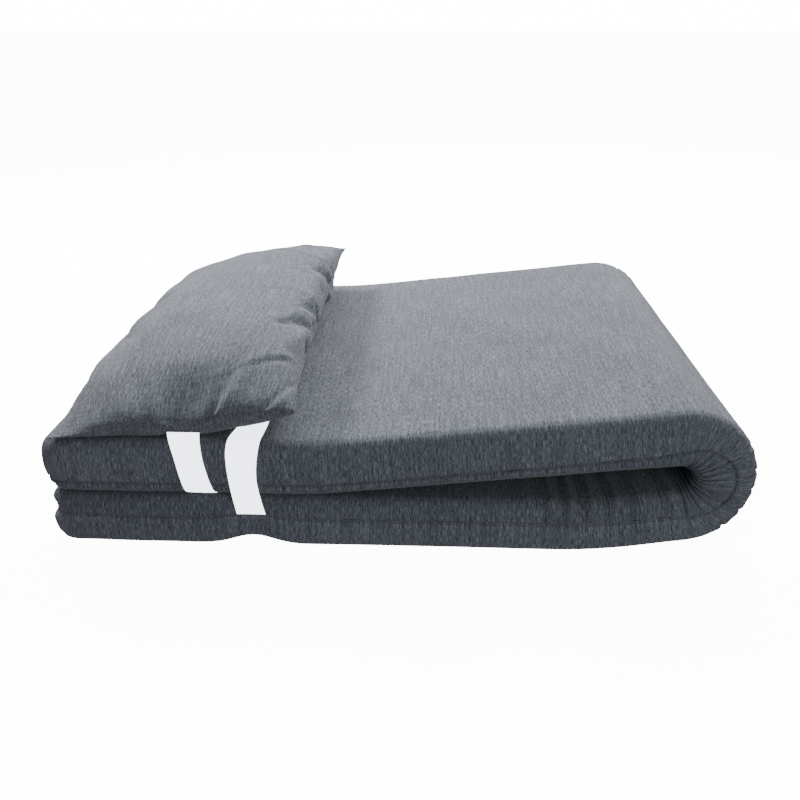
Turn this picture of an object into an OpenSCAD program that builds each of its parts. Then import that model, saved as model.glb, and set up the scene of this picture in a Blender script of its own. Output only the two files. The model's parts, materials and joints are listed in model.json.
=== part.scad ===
// Futon mattress folded in half, with a pillow strapped on its free end.
// X runs along the folded mattress with the fold at +X, the front side faces -Y, and the
// mattress lies on Z = 0. The origin is the middle of the footprint.

/* [Mattress] */
// Width of the mattress, across the fold
mat_w = 700; // [500:1:1000]
// Thickness of one layer
layer_t = 78; // [60:1:110]
// Radius of the long edges
edge_r = 22; // [8:1:28]
// Space between the two layers at the free ends
layer_gap = 2.4; // [2:0.1:8]
// Level length of the upper half beyond the pillow
head_spare = 21; // [5:1:200]
// Slope of the upper half down from the fold, in degrees
rise_angle = 6.5; // [4:0.5:12]
// Length of the lower half that lifts off the floor
lift_len = 146; // [90:1:220]
// Slope of that length, in degrees
lift_angle = 10; // [4:0.5:16]
// Width left on the inner side of each section of the fold
inner_pitch = 12; // [6:1:24]

/* [Cover and foam] */
// Thickness of the cover fabric with its quilted backing
cover_t = 2; // [1:0.1:4]
// Clearance between the foam and the cover
foam_fit = 0.3; // [0.1:0.1:2]
// Height of the side seam from the inner face, on the lower half
seam_low = 28; // [12:1:50]
// Height of the side seam from the inner face, on the upper half
seam_up = 14; // [8:1:50]
// Clearance between neighbouring sections of the fold
section_gap = 0.4; // [0.3:0.1:1]

/* [Pillow] */
// Width of the pillow, along the mattress
pillow_w = 324; // [220:1:420]
// Height of the pillow above its side seam
pillow_up = 78; // [40:1:110]
// Height of the pillow below its side seam
pillow_down = 22; // [12:1:50]
// Distance of the pillow from the free end
pillow_inset = 15; // [0:1:80]
// Thickness of the pillow cover
pillow_cover_t = 1.5; // [1:0.1:3]
// How far the top of the pillow draws in from its seam
crown_in = 95; // [40:1:100]
// How far the bottom of the pillow draws in from its seam
belly_in = 40; // [20:1:80]

/* [Straps] */
// Width of the elastic straps
strap_w = 39; // [20:1:60]
// Thickness of the elastic straps
strap_t = 1.2; // [0.8:0.1:1.6]
// Clearance between a strap and what it passes
strap_clear = 0.4; // [0.3:0.1:0.8]
// Middle of the pillow strap, from the free end
pillow_strap_at = 202; // [120:1:220]
// Middle of the strap that holds the bundle, from the free end
bundle_strap_at = 281; // [266:1:300]

/* [Zip] */
// Length of the zip across the free end of the lower half
zip_len = 600; // [300:1:640]
// Width of each zip tape
tape_w = 13; // [8:1:16]
// Thickness of the zip tape
tape_t = 0.8; // [0.5:0.1:1.2]
// Width of the zip teeth
teeth_w = 6; // [4:0.5:8]
// Thickness of the zip teeth
teeth_t = 2.2; // [1.5:0.1:3]
// Length of the zip slider
slider_len = 12; // [9:1:18]
// Length of the pull tab
pull_len = 24; // [14:1:34]
// Clearance between the slider, the teeth and the pull tab
zip_clear = 0.4; // [0.3:0.1:0.6]

/* [Hidden] */
SECTION_NAMES = ["lower", "lift", "bend_1", "bend_2", "bend_3", "bend_4", "bend_5", "rise", "head"];

LOWER = 0;
LIFT = 1;
// The middle of the fold is split between these two sections, which share one heading
CUT_BELOW = 3;
CUT_ABOVE = 4;
RISE = 7;
HEAD = 8;
LAST = HEAD;
// How far a cutting block reaches past what it cuts
PAST = 1;
TINY = 0.01;

outer_colour = "#8a9298";
inner_colour = "#555c69";
foam_colour = "#e9e2c8";
pillow_colour = "#868e94";
fill_colour = "#f3f2ee";
strap_colour = "#f4f4f2";
tape_colour = "#4a505b";
metal_colour = "#a9acae";

// The fold: a chain of sections whose outer faces follow one line from the free end of the
// lower half, round the fold, to the free end of the upper half. It turns at every meeting
// of two sections but the cut.
function turns(i) = i <= LIFT ? 0 : i <= CUT_BELOW ? i - LIFT : i - LIFT - 1;
bend_turn = (180 + rise_angle - lift_angle) / turns(RISE);
bend_len = inner_pitch + 2 * layer_t * tan(bend_turn / 2);
head_len = pillow_inset + pillow_w + head_spare;
stack_h = 2 * layer_t + layer_gap;

function heading(i) =
    i == LOWER ? 0 : i >= HEAD ? 180 : lift_angle + turns(i) * bend_turn;
function step_to(a, len) = [len * cos(a), len * sin(a)];
function bend_part(i) = i == CUT_BELOW || i == CUT_ABOVE ? bend_len / 2 : bend_len;
function bend_height(i = LIFT + 1) =
    i == RISE ? 0 : bend_part(i) * sin(heading(i)) + bend_height(i + 1);
rise_len = (lift_len * sin(lift_angle) + bend_height() - stack_h) / sin(rise_angle);
function past_lower(i) =
    i == LIFT ? lift_len : i == RISE ? rise_len : i == HEAD ? head_len : bend_part(i);

// Start of section i on the outer face, counted from the end of the level lower half
function start_rel(i) =
    i <= LIFT ? [0, 0] : start_rel(i - 1) + step_to(heading(i - 1), past_lower(i - 1));
free_rel = start_rel(HEAD)[0] - head_len;
lower_len = -free_rel;
fold_rel = max([for (i = [LIFT:HEAD]) start_rel(i)[0]]);

// The zip stands out from the free end of the lower half by this much
slider_plate = 1.2;
pin_r = 0.6;
slider_top = tape_t + teeth_t + zip_clear + slider_plate;
pull_gap = 2 * (zip_clear + pin_r);
zip_stand = slider_top + pull_gap + slider_plate;

free_x = -(fold_rel - free_rel - zip_stand) / 2;
shift_x = free_x - free_rel;

function section_len(i) = i == LOWER ? lower_len : past_lower(i);
function section_start(i) =
    i == LOWER ? [free_x, 0] : start_rel(i) + [shift_x, 0];
function half_turn(i) = i <= LOWER || i > LAST ? 0 : (heading(i) - heading(i - 1)) / 2;
function seam_height(i) =
    i <= LIFT ? seam_low
    : i >= RISE ? seam_up
    : seam_low + (seam_up - seam_low) * (i - LIFT) / (RISE - LIFT);

pillow_len = mat_w + 2 * strap_clear;
pillow_floor = stack_h + 2 * strap_clear + strap_t;
pillow_seam_z = pillow_floor + pillow_down;
pillow_x = free_x + pillow_inset + pillow_w / 2;
pillow_corner_r = 30;
pillow_inner_r = 5;
flange_t = 3;
crown_step = 15;
crown_end = 75;
fill_plate = 0.5;
seam_z = layer_t - seam_low;
head_floor = layer_t + layer_gap;
head_middle = head_floor + layer_t / 2;
// How far the bundle strap is sewn in below the side seam
strap_hem = 6;

// ---- Mattress sections -------------------------------------------------------------

// Rounded cross section of a layer, drawn in by inset; its outer face is at height 0
module girth(inset) {
    w = mat_w - 2 * inset;
    h = layer_t - 2 * inset;
    r = edge_r - inset;
    translate([0, layer_t / 2]) {
        square([w - 2 * r, h], center = true);
        square([w, h - 2 * r], center = true);
        for (side = [-1, 1], level = [-1, 1])
            translate([side * (w / 2 - r), level * (h / 2 - r)]) circle(r, $fn = 64);
    }
}

module in_section(i) {
    start = section_start(i);
    translate([start[0], 0, start[1]]) rotate([0, -heading(i), 0]) children();
}

module girth_bar(i, inset) {
    translate([-layer_t, 0, 0]) rotate([90, 0, 90])
        linear_extrude(section_len(i) + 2 * layer_t) girth(inset);
}

// Side outline of a section between its two joint planes; start and end draw it in there
module side_block(i, start, end, low = -PAST, high = layer_t + PAST) {
    len = section_len(i);
    slope_0 = tan(half_turn(i));
    slope_1 = tan(half_turn(i + 1));
    rotate([90, 0, 0]) linear_extrude(mat_w + 2 * PAST, center = true)
        polygon([
            [start + low * slope_0, low], [len - end - low * slope_1, low],
            [len - end - high * slope_1, high], [start + high * slope_0, high]
        ]);
}

module section_solid(i, inset, low = -PAST, high = layer_t + PAST) {
    joint_in = section_gap / 2;
    intersection() {
        girth_bar(i, inset);
        side_block(i, i == LOWER ? inset : joint_in, i == HEAD ? inset : joint_in, low, high);
    }
}

module section_cavity(i) {
    intersection() {
        girth_bar(i, cover_t);
        side_block(i, i == LOWER ? cover_t : -PAST, i == HEAD ? cover_t : -PAST);
    }
}

module foam(i) {
    color(foam_colour) in_section(i) section_solid(i, cover_t + foam_fit);
}

module cover_outer(i) {
    color(outer_colour) in_section(i) difference() {
        section_solid(i, 0, high = layer_t - seam_height(i));
        section_cavity(i);
    }
}

module cover_inner(i) {
    color(inner_colour) in_section(i) difference() {
        section_solid(i, 0, low = layer_t - seam_height(i));
        section_cavity(i);
    }
}

// ---- Pillow ------------------------------------------------------------------------

module pillow_plate(draw_in, z, h, inset) {
    w = pillow_w - 2 * (draw_in + inset);
    len = pillow_len - 2 * (draw_in + inset);
    r = max(pillow_corner_r - inset, pillow_inner_r);
    translate([pillow_x, 0, z]) linear_extrude(h)
        for (sx = [-1, 1], sy = [-1, 1])
            translate([sx * (w / 2 - r), sy * (len / 2 - r)]) circle(r, $fn = 32);
}

// Thin plates that a hull joins to the crowned half of the pillow on one side of its seam
// plane, drawn in by inset
module pillow_half(height, draw_in, side, inset) {
    rim = flange_t / 2 - min(inset, flange_t / 3);
    pillow_plate(0, pillow_seam_z + (side > 0 ? 0 : -rim), rim, inset);
    for (a = [crown_step:crown_step:crown_end]) {
        level = side * (height - inset) * sin(a) / sin(crown_end) - (side > 0 ? TINY : 0);
        pillow_plate(draw_in * (1 - cos(a)), pillow_seam_z + level, TINY, inset);
    }
}

module pillow_upper(inset) { pillow_half(pillow_up, crown_in, 1, inset); }
module pillow_lower(inset) { pillow_half(pillow_down, belly_in, -1, inset); }

module pillow_cover_top() {
    color(pillow_colour) difference() {
        hull() pillow_upper(0);
        translate([0, 0, -TINY]) hull() pillow_upper(pillow_cover_t);
    }
}

module pillow_cover_bottom() {
    color(inner_colour) difference() {
        hull() pillow_lower(0);
        translate([0, 0, TINY]) hull() pillow_lower(pillow_cover_t);
    }
}

// One convex body with coarser steps than the cover, so that it stays inside it
module pillow_fill() {
    inset = pillow_cover_t + foam_fit;
    rim = flange_t / 3;
    color(fill_colour) hull() {
        pillow_plate(0, pillow_seam_z - rim, 2 * rim, inset);
        for (a = [crown_step:2 * crown_step:crown_end]) {
            rise = sin(a) / sin(crown_end);
            pillow_plate(crown_in * (1 - cos(a)),
                pillow_seam_z + (pillow_up - inset) * rise - fill_plate, fill_plate, inset);
            pillow_plate(belly_in * (1 - cos(a)),
                pillow_seam_z - (pillow_down - inset) * rise, fill_plate, inset);
        }
    }
}

// ---- Straps ------------------------------------------------------------------------

// Band round a layer at the height base, between the clearance and the strap's outer face
module strap_ring(base) {
    translate([0, base]) difference() {
        girth(-strap_clear - strap_t);
        girth(-strap_clear);
    }
}

module strap_along(at) {
    translate([free_x + at - strap_w / 2, 0, 0]) rotate([90, 0, 90]) linear_extrude(strap_w) children();
}

module strap_sides(low, high) {
    for (side = [-1, 1])
        translate([side * (mat_w / 2 + strap_clear + strap_t / 2), (low + high) / 2])
            square([strap_t, high - low], center = true);
}

module pillow_strap() {
    color(strap_colour) strap_along(pillow_strap_at) {
        difference() {
            strap_ring(head_floor);
            translate([-mat_w, head_middle]) square([2 * mat_w, layer_t]);
        }
        strap_sides(head_middle, pillow_seam_z + flange_t / 2);
    }
}

module bundle_strap() {
    color(strap_colour) strap_along(bundle_strap_at) {
        difference() {
            strap_ring(head_floor);
            translate([-mat_w, head_middle - layer_t]) square([2 * mat_w, layer_t]);
        }
        strap_sides(seam_z - strap_hem, head_middle);
    }
}

// ---- Zip on the free end of the lower half -------------------------------------------

// Block on the free end face: from out to out + thick away from it, centred at y and seam + z
module on_end(out, thick, y, len, z, h) {
    translate([free_x - out - thick, y - len / 2, seam_z + z - h / 2]) cube([thick, len, h]);
}

stop_len = 4;
stop_stand = 0.4;
slit = 1;
slider_wall = 2;
slider_w = teeth_w + 2 * (zip_clear + slider_wall);
slider_y = -(zip_len / 2 - stop_len - zip_clear - slider_len / 2);
pull_mid = slider_top + pull_gap / 2;
bail_w = 2;
arm_in = bail_w;
arm_w = 1.4;
pull_w = 2 * (arm_in + arm_w);

module zip_tape(side) {
    h = tape_w - slit / 2;
    color(tape_colour) on_end(0, tape_t, 0, zip_len, side * (slit + h) / 2, h);
}

module zip_teeth() {
    color(tape_colour) on_end(tape_t, teeth_t, 0, zip_len - 2 * stop_len, 0, teeth_w);
}

module zip_stops() {
    color(metal_colour) for (side = [-1, 1])
        on_end(tape_t, teeth_t + stop_stand, side * (zip_len - stop_len) / 2, stop_len, 0, teeth_w);
}

module zip_slider() {
    color(metal_colour) {
        difference() {
            on_end(tape_t + zip_clear, slider_top - tape_t - zip_clear, slider_y, slider_len, 0, slider_w);
            on_end(tape_t + zip_clear - PAST, teeth_t + PAST, slider_y, slider_len + 2 * PAST, 0,
                teeth_w + 2 * zip_clear);
        }
        for (side = [-1, 1])
            on_end(slider_top, pull_gap, slider_y + side * (slider_len - slider_plate) / 2,
                slider_plate, 0, bail_w);
        on_end(slider_top + pull_gap, slider_plate, slider_y, slider_len, 0, bail_w);
    }
}

module zip_pull() {
    arm_len = slider_len / 2 + 2 * zip_clear + pin_r;
    color(metal_colour) {
        translate([free_x - pull_mid, slider_y, seam_z])
            cylinder(h = pull_w, r = pin_r, center = true, $fn = 32);
        for (side = [-1, 1])
            on_end(pull_mid - pin_r, 2 * pin_r, slider_y + arm_len / 2, arm_len,
                side * (arm_in + arm_w / 2), arm_w);
        on_end(pull_mid - pin_r, 2 * pin_r, slider_y + (arm_len + pull_len) / 2,
            pull_len - arm_len, 0, pull_w);
    }
}

for (i = [LOWER:LAST]) {
    foam(i);
    cover_outer(i);
    cover_inner(i);
}
pillow_cover_top();
pillow_cover_bottom();
pillow_fill();
pillow_strap();
bundle_strap();
zip_tape(1);  // zip_tape_upper
zip_tape(-1);  // zip_tape_lower
zip_teeth();
zip_stops();
zip_slider();
zip_pull();
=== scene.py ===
"""Looks of a futon mattress folded in half, with a pillow strapped on its free end.

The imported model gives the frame: its bodies, joints and node boxes. Every length is in metres.
The mattress is modelled as if it lay open, as a fabric sleeve round one foam slab, and is then
laid along a fold line that passes through the frame's own hinges.
"""
import json
import logging
import math
from dataclasses import dataclass, field
from enum import Enum
from typing import Sequence

import bpy
import numpy as np
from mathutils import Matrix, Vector


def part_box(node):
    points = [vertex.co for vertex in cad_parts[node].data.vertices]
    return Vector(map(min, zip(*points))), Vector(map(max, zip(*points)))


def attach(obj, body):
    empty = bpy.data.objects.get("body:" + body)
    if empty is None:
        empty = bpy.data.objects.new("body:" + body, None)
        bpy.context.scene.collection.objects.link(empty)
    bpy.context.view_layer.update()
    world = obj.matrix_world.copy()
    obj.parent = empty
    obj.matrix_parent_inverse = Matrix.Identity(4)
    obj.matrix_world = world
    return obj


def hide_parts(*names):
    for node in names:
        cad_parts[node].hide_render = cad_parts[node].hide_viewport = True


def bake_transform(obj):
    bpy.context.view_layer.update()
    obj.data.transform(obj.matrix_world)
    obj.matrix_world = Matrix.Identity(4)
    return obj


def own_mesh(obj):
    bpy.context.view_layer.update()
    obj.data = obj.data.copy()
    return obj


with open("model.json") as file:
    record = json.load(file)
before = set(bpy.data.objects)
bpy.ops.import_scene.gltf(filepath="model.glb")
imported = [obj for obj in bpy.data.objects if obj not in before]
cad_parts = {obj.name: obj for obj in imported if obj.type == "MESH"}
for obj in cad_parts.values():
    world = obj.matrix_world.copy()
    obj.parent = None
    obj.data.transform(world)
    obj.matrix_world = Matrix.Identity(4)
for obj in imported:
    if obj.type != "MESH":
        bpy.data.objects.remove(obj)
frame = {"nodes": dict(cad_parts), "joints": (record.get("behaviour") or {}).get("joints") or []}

MM = 0.001
# The bands of a wave texture repeat every 0.314 m at scale 1
WAVE_REPEAT = 0.314
LOG = logging.getLogger("futon")
Array = np.ndarray


class Side(Enum):
    """Which panel of the mattress cover a mesh belongs to."""

    OUTER = "outer"
    INNER = "inner"


# ---- Small tools ---------------------------------------------------------------------


def linear(colour: str) -> tuple[float, float, float, float]:
    """Turns an sRGB hex colour into the linear RGBA that a shader takes.

    Args:
        colour: Six hex digits with a leading hash.
    Returns:
        Linear red, green, blue and an alpha of 1.
    """
    parts = [int(colour[i:i + 2], 16) / 255 for i in (1, 3, 5)]
    return (*[c / 12.92 if c <= 0.04045 else ((c + 0.055) / 1.055) ** 2.4 for c in parts], 1.0)


def smooth(x: Array | float) -> Array | float:
    """Smooth step from 0 to 1."""
    t = np.clip(x, 0.0, 1.0)
    return t * t * (3 - 2 * t)


def hump(x: Array | float, centre: float, width: float) -> Array | float:
    """Bell curve of height 1 at centre, with width as its standard deviation."""
    return np.exp(-0.5 * ((x - centre) / width) ** 2)


def ripple(u: Array, v: Array, cell_u: float, cell_v: float, seed: int) -> Array:
    """Smooth seeded noise between -1 and 1 over a lattice.

    Args:
        u: First coordinate, in metres.
        v: Second coordinate, in metres.
        cell_u: Lattice spacing along u.
        cell_v: Lattice spacing along v.
        seed: Seed of the lattice's values.
    Returns:
        One value for each pair of coordinates.
    """
    size = 512
    table = np.random.default_rng(seed).uniform(-1, 1, (size, size))
    a, b = np.asarray(u) / cell_u + 200.0, np.asarray(v) / cell_v + 200.0
    i, j = np.floor(a).astype(int), np.floor(b).astype(int)
    s, t = smooth(a - i), smooth(b - j)
    i0, i1, j0, j1 = i % size, (i + 1) % size, j % size, (j + 1) % size
    low = table[i0, j0] * (1 - s) + table[i1, j0] * s
    high = table[i0, j1] * (1 - s) + table[i1, j1] * s
    return low * (1 - t) + high * t


def deselect() -> None:
    """Leaves nothing selected, because an operator acts on all that is."""
    bpy.ops.object.select_all(action="DESELECT")


def apply_modifiers(obj: bpy.types.Object) -> None:
    """Applies every modifier of an object in order."""
    deselect()
    bpy.context.view_layer.objects.active = obj
    obj.select_set(True)
    for name in [m.name for m in obj.modifiers]:
        bpy.ops.object.modifier_apply(modifier=name)
    deselect()


def new_piece(name: str, points: Array, faces: Sequence[Sequence[int]] | Array,
              uv: Array | None = None, shades: bool = True) -> bpy.types.Object:
    """Makes a mesh object at the origin from points, faces and one UV place for each point.

    Args:
        name: Name of the piece.
        points: Points in the row frame.
        faces: Point numbers of each face, turning so that they face outwards.
        uv: One pair for each point, in metres along the fabric.
        shades: Whether the piece is smooth shaded.
    Returns:
        The new object.
    """
    mesh = bpy.data.meshes.new(name)
    mesh.from_pydata(np.asarray(points, float).tolist(), [], [list(map(int, f)) for f in faces])
    if uv is not None:
        layer = mesh.uv_layers.new(name="UVMap")
        loops = np.zeros(len(mesh.loops), np.int32)
        mesh.loops.foreach_get("vertex_index", loops)
        layer.data.foreach_set("uv", np.asarray(uv, np.float32)[loops].ravel())
    if shades:
        mesh.shade_smooth()
    mesh.update()
    obj = bpy.data.objects.new(name, mesh)
    bpy.context.scene.collection.objects.link(obj)
    return obj


def point_normals(points: Array, quads: Array) -> Array:
    """Area-weighted normals of a quad mesh's points.

    Args:
        points: Points of the mesh.
        quads: Four point numbers for each face.
    Returns:
        One unit normal for each point.
    """
    a, b, c, d = (points[quads[:, k]] for k in range(4))
    across = np.cross(c - a, d - b)
    total = np.zeros_like(points)
    for k in range(4):
        np.add.at(total, quads[:, k], across)
    return total / np.maximum(np.linalg.norm(total, axis=1), 1e-12)[:, None]


def fabric(name: str, points: Array, normals: Array, quads: Array, uv: Array,
           thickness: float, material: bpy.types.Material) -> bpy.types.Object:
    """Makes a closed thin fabric piece from one layer of quads, shaded by the given normals.

    Args:
        name: Name of the piece.
        points: Points of the outer face.
        normals: One unit normal for each point.
        quads: Four point numbers for each face.
        uv: One pair for each point, in metres.
        thickness: Thickness of the fabric.
        material: Its finish.
    Returns:
        The new object. Its second half of points is the back of the fabric.
    """
    n = len(points)
    edges = np.concatenate([quads[:, [k, (k + 1) % 4]] for k in range(4)])
    keys = np.sort(edges, axis=1)
    _, first, counts = np.unique(keys, axis=0, return_index=True, return_counts=True)
    rim = edges[first[counts == 1]]
    faces = np.concatenate([quads, quads[:, ::-1] + n,
                            np.stack([rim[:, 1], rim[:, 0], rim[:, 0] + n, rim[:, 1] + n], -1)])
    obj = new_piece(name, np.concatenate([points, points - normals * thickness]), faces,
                    np.concatenate([uv, uv]))
    obj.data.materials.append(material)
    obj.data.normals_split_custom_set_from_vertices(np.concatenate([normals, -normals]).tolist())
    return obj


def bend_by(obj: bpy.types.Object, shares: Array) -> None:
    """Bakes a piece's transform into its points.

    Args:
        obj: The finished piece.
        shares: One share for each point; not used.
    """
    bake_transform(obj)


# ---- Finishes ------------------------------------------------------------------------


class Graph:
    """Node graph of one material, built up node by node."""

    def __init__(self, name: str) -> None:
        """Starts a material that holds a shader and nothing else."""
        self.material = bpy.data.materials.new(name)
        self.material.use_nodes = True
        self.tree = self.material.node_tree
        self.shader = self.tree.nodes["Principled BSDF"]

    def add(self, kind: str, links: dict | None = None, **settings: object) -> bpy.types.Node:
        """Adds one node with its settings and links.

        Args:
            kind: Node type.
            links: Input name or number to a value, or to the socket that feeds it.
            settings: Properties of the node.
        Returns:
            The new node.
        """
        node = self.tree.nodes.new(kind)
        for key, value in settings.items():
            setattr(node, key, value)
        for key, value in (links or {}).items():
            if isinstance(value, bpy.types.NodeSocket):
                self.tree.links.new(value, node.inputs[key])
            else:
                node.inputs[key].default_value = value
        return node

    def ramp(self, source: bpy.types.NodeSocket, *stops: tuple[float, str]) -> bpy.types.NodeSocket:
        """Turns a value into colours at the given stops."""
        node = self.add("ShaderNodeValToRGB", {"Fac": source})
        band = node.color_ramp.elements
        while len(band) < len(stops):
            band.new(0.5)
        for element, (place, colour) in zip(band, stops):
            element.position, element.color = place, linear(colour)
        return node.outputs["Color"]

    def finish(self, colour: object, bump: bpy.types.NodeSocket | None, depth: float,
               **values: float) -> bpy.types.Material:
        """Links the colour and the relief to the shader and sets its plain values.

        Args:
            colour: Socket or linear colour for the base.
            bump: Height from 0 to 1, or None.
            depth: Height in metres that 1 stands for.
            values: Shader inputs by name, with underscores for spaces.
        Returns:
            The material.
        """
        base = self.shader.inputs["Base Color"]
        if isinstance(colour, bpy.types.NodeSocket):
            self.tree.links.new(colour, base)
        else:
            base.default_value = colour
        if bump is not None:
            relief = self.add("ShaderNodeBump", {"Height": bump, "Distance": depth, "Strength": 1.0})
            self.tree.links.new(relief.outputs["Normal"], self.shader.inputs["Normal"])
        for key, value in values.items():
            self.shader.inputs[key.replace("_", " ")].default_value = value
        return self.material


@dataclass(frozen=True)
class MelangeCloth:
    """Polyester-linen plain weave from slubbed two-tone yarn: matt, with short pale and dark flecks.

    The fabric's U runs along the mattress and V along the yarn that shows most.
    """

    name: str
    pale: str = "#8c9197"
    middle: str = "#61666e"
    deep: str = "#3a3e46"
    slub: float = 0.95 * MM
    slub_len: float = 10 * MM
    # Repeat of the relief's bands. About eight slubs wide, so coarser than real yarn
    pick: float = 7.536 * MM

    def make(self) -> bpy.types.Material:
        """Builds the weave from streaks along the yarn, finer cross streaks and a thread relief."""
        g = Graph(self.name)
        place = g.add("ShaderNodeTexCoord").outputs["UV"]

        def streak(across: float, along: float, detail: float, turned: bool) -> bpy.types.NodeSocket:
            """Noise stretched along one yarn direction."""
            scale = (1 / across, 1 / along, 1) if not turned else (1 / along, 1 / across, 1)
            spread = g.add("ShaderNodeMapping", {"Vector": place, "Scale": scale})
            return g.add("ShaderNodeTexNoise", {"Vector": spread.outputs[0], "Scale": 1.0,
                         "Detail": detail, "Roughness": 0.6}).outputs["Fac"]

        weft = streak(self.slub, self.slub_len, 2.0, False)
        warp = streak(self.slub * 0.9, self.slub_len * 0.4, 1.5, True)
        broad = streak(3 * MM, 70 * MM, 1.0, False)
        cloud = g.add("ShaderNodeTexNoise", {"Vector": place, "Scale": 9.0, "Detail": 2.0}).outputs["Fac"]

        def mix(a: object, b: object, share: float) -> bpy.types.NodeSocket:
            """Weighted mean of two heights."""
            node = g.add("ShaderNodeMix", {0: share, 2: a, 3: b}, data_type="FLOAT")
            return node.outputs[0]

        yarn = mix(mix(weft, warp, 0.36), broad, 0.18)
        tone = mix(yarn, cloud, 0.05)
        colour = g.ramp(tone, (0.39, self.deep), (0.50, self.middle), (0.61, self.pale))
        threads = [g.add("ShaderNodeTexWave", {"Vector": place, "Scale": WAVE_REPEAT / self.pick,
                   "Distortion": 1.2, "Detail": 1.0, "Detail Scale": 2.0},
                   wave_type="BANDS", bands_direction=axis).outputs["Fac"]
                   for axis in ("X", "Y")]
        relief = mix(mix(threads[0], threads[1], 0.5), yarn, 0.55)
        return g.finish(colour, relief, 0.5 * MM, Roughness=0.92, Sheen_Weight=0.18,
                        Sheen_Roughness=0.45, Specular_IOR_Level=0.22)


@dataclass(frozen=True)
class RibbedElastic:
    """White woven elastic: ribs along its length, a little gloss on the yarn, and a painted glow."""

    name: str = "Woven white elastic"
    rib: float = 6.0 * MM
    pick: float = 3.2 * MM

    def make(self) -> bpy.types.Material:
        """Builds ribs across the band's width and a fine pick along it."""
        g = Graph(self.name)
        place = g.add("ShaderNodeTexCoord").outputs["UV"]
        ribs = g.add("ShaderNodeTexWave", {"Vector": place, "Scale": WAVE_REPEAT / self.rib},
                     wave_type="BANDS", bands_direction="X").outputs["Fac"]
        picks = g.add("ShaderNodeTexWave", {"Vector": place, "Scale": WAVE_REPEAT / self.pick,
                      "Distortion": 0.6}, wave_type="BANDS", bands_direction="Y").outputs["Fac"]
        both = g.add("ShaderNodeMix", {0: 0.35, 2: ribs, 3: picks}, data_type="FLOAT").outputs[0]
        colour = g.ramp(both, (0.0, "#e6e7e6"), (0.5, "#f7f7f6"), (1.0, "#fdfdfc"))
        # Painted light: the elastic glows by emission, though real elastic only reflects; this lifts it to
        # the white of a bright exposure
        g.shader.inputs["Emission Color"].default_value = linear("#f3f6ff")
        return g.finish(colour, both, 0.25 * MM, Roughness=0.62, Sheen_Weight=0.2,
                        Emission_Strength=4.0)


@dataclass(frozen=True)
class PlainFinish:
    """A finish of one colour with a grain on Object coordinates: foam, fibre, thread, nylon or nickel."""

    name: str
    low: str
    high: str
    grain: float
    depth: float
    roughness: float
    metallic: float = 0.0
    coat: float = 0.0

    def make(self) -> bpy.types.Material:
        """Builds the grain as noise that colours and lifts the surface."""
        g = Graph(self.name)
        place = g.add("ShaderNodeTexCoord").outputs["Object"]
        grain = g.add("ShaderNodeTexNoise", {"Vector": place, "Scale": 1 / self.grain,
                      "Detail": 3.0, "Roughness": 0.6}).outputs["Fac"]
        colour = g.ramp(grain, (0.35, self.low), (0.65, self.high))
        return g.finish(colour, grain, self.depth, Roughness=self.roughness,
                        Metallic=self.metallic, Coat_Weight=self.coat)


@dataclass(frozen=True)
class HerringboneTape:
    """Woven polyester zip tape: fine slanting ribs, matt."""

    name: str = "Woven zip tape"
    rib: float = 2.4 * MM

    def make(self) -> bpy.types.Material:
        """Builds slanting ribs on Object coordinates."""
        g = Graph(self.name)
        place = g.add("ShaderNodeTexCoord").outputs["Object"]
        turned = g.add("ShaderNodeMapping", {"Vector": place, "Rotation": (math.radians(45), 0, 0)})
        ribs = g.add("ShaderNodeTexWave", {"Vector": turned.outputs[0], "Scale": WAVE_REPEAT / self.rib},
                     wave_type="BANDS", bands_direction="Y").outputs["Fac"]
        colour = g.ramp(ribs, (0.0, "#3d434d"), (1.0, "#545c68"))
        return g.finish(colour, ribs, 0.2 * MM, Roughness=0.88, Sheen_Weight=0.1)


class Finishes:
    """Every finish of the object, made once."""

    def __init__(self) -> None:
        """Makes the materials."""
        self.cover_outer = MelangeCloth("Melange plain weave").make()
        # Painted shade: the inner panel is the same weave in darker colours, standing in for the shade in the
        # hollow of the fold
        self.cover_inner = MelangeCloth("Melange plain weave, inner panel", pale="#858b91",
                                        middle="#5b6068", deep="#363a42").make()
        self.pillow_cloth = MelangeCloth("Melange plain weave, pillow").make()
        self.elastic = RibbedElastic().make()
        self.tape = HerringboneTape().make()
        self.thread = PlainFinish("Spun polyester sewing thread", "#474e59", "#59616c",
                                  0.8 * MM, 0.1 * MM, 0.8).make()
        self.foam = PlainFinish("Open-cell polyurethane foam", "#e2d9bd", "#efe8d0",
                                1.4 * MM, 0.5 * MM, 0.95).make()
        self.fibre = PlainFinish("Non-woven pillow liner", "#e9e9e6", "#f7f7f4",
                                 1.0 * MM, 0.2 * MM, 0.95).make()
        self.nylon = PlainFinish("Moulded nylon coil", "#3b414b", "#4a515c",
                                 3.0 * MM, 0.03 * MM, 0.42, coat=0.1).make()
        self.nickel = PlainFinish("Satin nickel plate on zinc", "#a9acae", "#c2c4c5",
                                  2.0 * MM, 0.03 * MM, 0.34, metallic=1.0).make()


# ---- Fold line -----------------------------------------------------------------------


@dataclass(frozen=True)
class Corner:
    """One turn of the fold line."""

    at: float
    turn: float
    reach: float


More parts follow.
